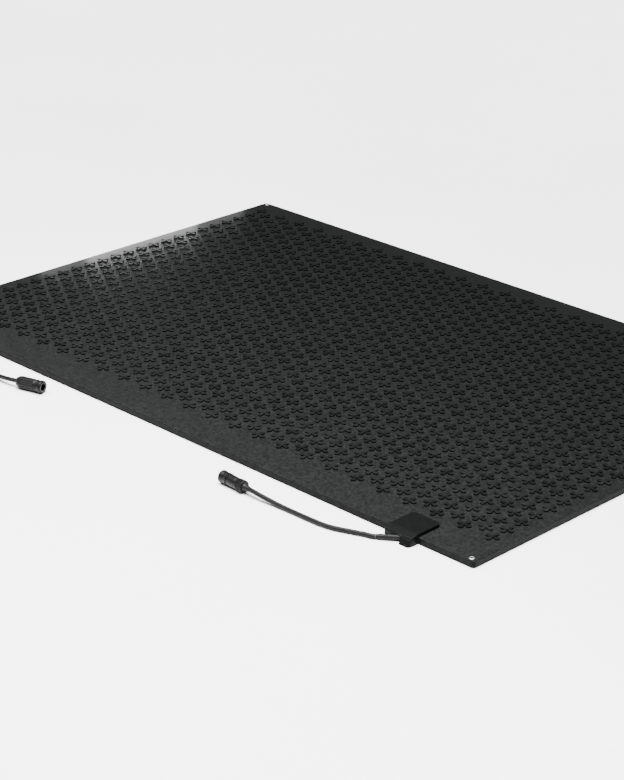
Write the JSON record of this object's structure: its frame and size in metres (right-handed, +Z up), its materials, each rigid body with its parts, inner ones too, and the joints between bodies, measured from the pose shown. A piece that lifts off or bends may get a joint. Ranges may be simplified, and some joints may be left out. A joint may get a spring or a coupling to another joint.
{
  "type": "linkable rubber heat mat",
  "caption": "Rubber electric heat mat with a cross-studded tread, corner eyelets, flush junction boxes and short link leads ending in round couplings.",
  "frame": {"origin": "middle of the mat's underside, on the floor", "axes": "+X along the long side, +Y across the mat away from the boxes and leads, +Z up out of the tread"},
  "size_m": [1.2, 0.877, 0.0198],
  "materials": {
    "sheet_rubber": "matte moulded rubber",
    "box_plastic": "fine satin texture",
    "coupling_plastic": "satin",
    "lead_sheath": "satin",
    "seal_rubber": "matte",
    "bright_steel": "bright plated",
    "contact_brass": "plain",
    "foil": "rolled foil",
    "carrier_glass": "woven glass cloth",
    "cable_silicone": "satin silicone",
    "core_live": "satin",
    "core_neutral": "satin",
    "core_earth": "satin",
    "terminal_nylon": "satin"
  },
  "bodies": {
    "mat": {"top_sheet": "sheet_rubber", "backing_sheet": "sheet_rubber", "earth_screen": "foil", "carrier_cloth": "carrier_glass", "heating_cable": "cable_silicone", "link_wire_live": "core_live", "lead_core_live_right": "core_live", "lead_core_live_left": "core_live", "link_wire_neutral": "core_neutral", "lead_core_neutral_right": "core_neutral", "lead_core_neutral_left": "core_neutral", "link_wire_earth": "core_earth", "lead_core_earth_right": "core_earth", "lead_core_earth_left": "core_earth", "eyelet_front_left": "bright_steel", "eyelet_washer_front_left": "bright_steel", "eyelet_front_right": "bright_steel", "eyelet_washer_front_right": "bright_steel", "eyelet_rear_left": "bright_steel", "eyelet_washer_rear_left": "bright_steel", "eyelet_rear_right": "bright_steel", "eyelet_washer_rear_right": "bright_steel", "junction_base_right": "box_plastic", "junction_lid_right": "box_plastic", "lid_gasket_right": "seal_rubber", "terminal_block_right": "terminal_nylon", "lid_screw_front_right": "bright_steel", "lid_screw_rear_right": "bright_steel", "strain_relief_right": "lead_sheath", "lead_right": "lead_sheath", "junction_base_left": "box_plastic", "junction_lid_left": "box_plastic", "lid_gasket_left": "seal_rubber", "terminal_block_left": "terminal_nylon", "lid_screw_front_left": "bright_steel", "lid_screw_rear_left": "bright_steel", "strain_relief_left": "lead_sheath", "lead_left": "lead_sheath", "link_socket_shell": "coupling_plastic", "link_socket_insert": "coupling_plastic", "link_socket_seal": "seal_rubber", "link_socket_boot": "lead_sheath", "link_socket_contact_live": "contact_brass", "link_socket_contact_neutral": "contact_brass", "link_socket_contact_earth": "contact_brass", "link_plug_shell": "coupling_plastic", "link_plug_insert": "coupling_plastic", "link_plug_seal": "seal_rubber", "link_plug_boot": "lead_sheath", "link_plug_contact_live": "contact_brass", "link_plug_contact_neutral": "contact_brass", "link_plug_contact_earth": "contact_brass", "link_socket_nut": "coupling_plastic"},
    "socket_collar": {"link_socket_collar": "coupling_plastic"},
    "plug_collar": {"link_plug_collar": "coupling_plastic"}
  },
  "joints": [
    {"name": "socket_collar_turn", "type": "hinge", "parent": "mat", "child": "socket_collar", "pos_m": [0.1942, -0.4569, 0.00925], "axis": [-0.999, 0.0436, 0], "continuous": true},
    {"name": "plug_collar_turn", "type": "hinge", "parent": "mat", "child": "plug_collar", "pos_m": [-0.2121, -0.4426, 0.00995], "axis": [0.9636, 0.2672, 0], "continuous": true}
  ]
}
